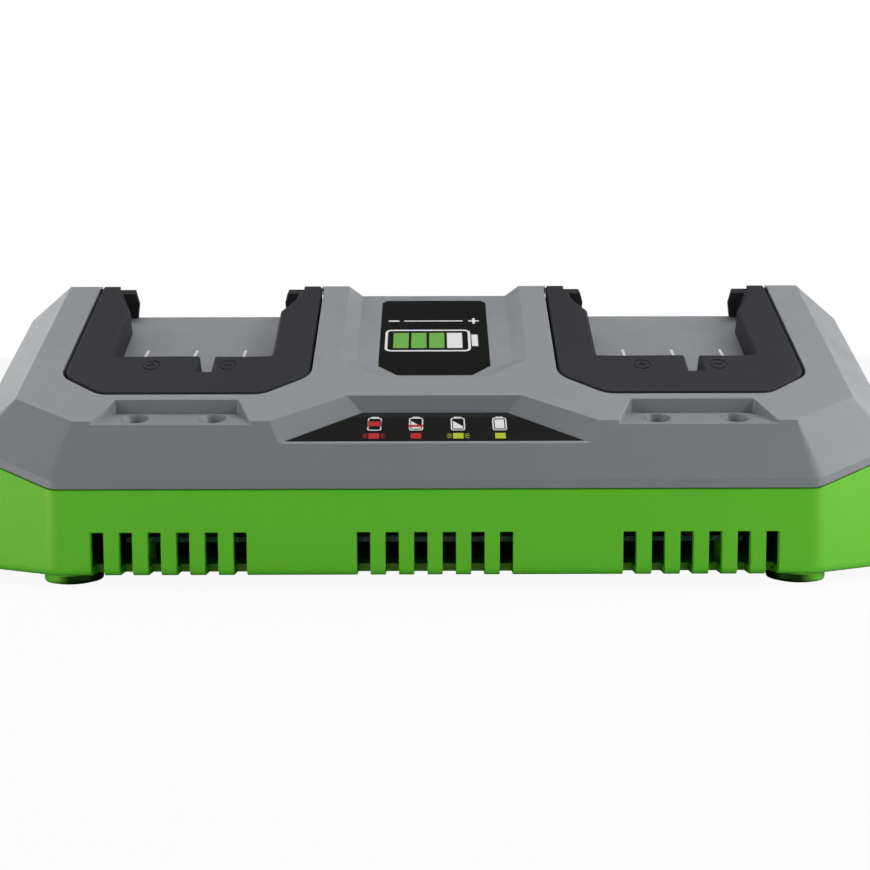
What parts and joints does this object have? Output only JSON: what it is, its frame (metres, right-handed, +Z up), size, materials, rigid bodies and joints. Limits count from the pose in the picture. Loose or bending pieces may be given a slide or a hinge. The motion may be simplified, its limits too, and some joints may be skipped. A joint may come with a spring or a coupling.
{
  "type": "power tool battery charger",
  "caption": "Wedge-shaped tabletop charger: green vented base, grey sloping top with slide-in battery bays, lamp recesses, sunken label panels and an inner cooling fan.",
  "frame": {"origin": "middle of the footprint, on the surface that the rubber feet stand on", "axes": "+X to the right seen from the front, across the two bays; +Y from the low front wall to the high rear wall; +Z up"},
  "size_m": [0.298, 0.0856, 0.0958],
  "materials": {
    "grey_plastic": "fine moulded grey plastic",
    "green_plastic": "satin moulded green plastic",
    "black_plastic": "fine moulded black plastic",
    "label_black": "printed label film",
    "contact_metal": "nickel-plated brass",
    "rubber": "matte rubber",
    "screw_steel": "zinc-plated steel",
    "red_lens": "clear tinted resin",
    "green_lens": "clear tinted resin",
    "circuit_board": "glass-fibre board with solder mask",
    "ferrite": "fired ferrite",
    "bobbin_plastic": "moulded bobbin",
    "winding_tape": "yellow polyester tape over copper",
    "copper_wire": "enamelled copper",
    "capacitor_sleeve": "shrink sleeve over aluminium",
    "film_capacitor": "resin box",
    "chip_black": "moulded epoxy",
    "heat_sink_metal": "extruded aluminium",
    "connector_white": "natural nylon",
    "fuse_glass": "capped fuse",
    "wire_cover": "PVC insulation"
  },
  "bodies": {
    "charger": {"base_housing": "green_plastic", "bay_leads_left": "wire_cover", "bay_leads_right": "wire_cover", "board_screws": "screw_steel", "bridge_rectifier": "chip_black", "bulk_capacitor": "capacitor_sleeve", "choke_core": "ferrite", "choke_windings": "copper_wire", "contact_blades_left": "contact_metal", "contact_blades_right": "contact_metal", "controller_chip": "chip_black", "fan_coil": "copper_wire", "fan_frame": "black_plastic", "fan_leads": "wire_cover", "fan_screws": "screw_steel", "foot_front_left": "rubber", "foot_front_right": "rubber", "foot_rear_left": "rubber", "foot_rear_right": "rubber", "fuse": "fuse_glass", "heat_sink_output": "heat_sink_metal", "heat_sink_primary": "heat_sink_metal", "housing_screws": "screw_steel", "inlet_pins": "contact_metal", "lamp_board_left": "circuit_board", "lamp_board_right": "circuit_board", "lamp_board_screws": "screw_steel", "lamp_green_left": "green_lens", "lamp_green_right": "green_lens", "lamp_red_left": "red_lens", "lamp_red_right": "red_lens", "lead_header_left": "connector_white", "lead_header_right": "connector_white", "legend_panel": "label_black", "main_board": "circuit_board", "mains_inlet": "black_plastic", "mains_leads": "wire_cover", "name_plate": "label_black", "output_capacitors": "capacitor_sleeve", "output_rectifiers": "chip_black", "power_transistors": "chip_black", "rail_frame_left": "black_plastic", "rail_frame_right": "black_plastic", "rail_frame_screws_left": "screw_steel", "rail_frame_screws_right": "screw_steel", "terminal_block_left": "black_plastic", "terminal_block_right": "black_plastic", "top_housing": "grey_plastic", "transformer_bobbin": "bobbin_plastic", "transformer_core": "ferrite", "transformer_winding": "winding_tape", "x_capacitor": "film_capacitor"},
    "fan": {"fan_rotor": "black_plastic"}
  },
  "joints": [
    {"name": "fan_spin", "type": "hinge", "parent": "charger", "child": "fan", "pos_m": [0, 0.04015, 0.0308], "axis": [0, 1, 0], "continuous": true}
  ]
}
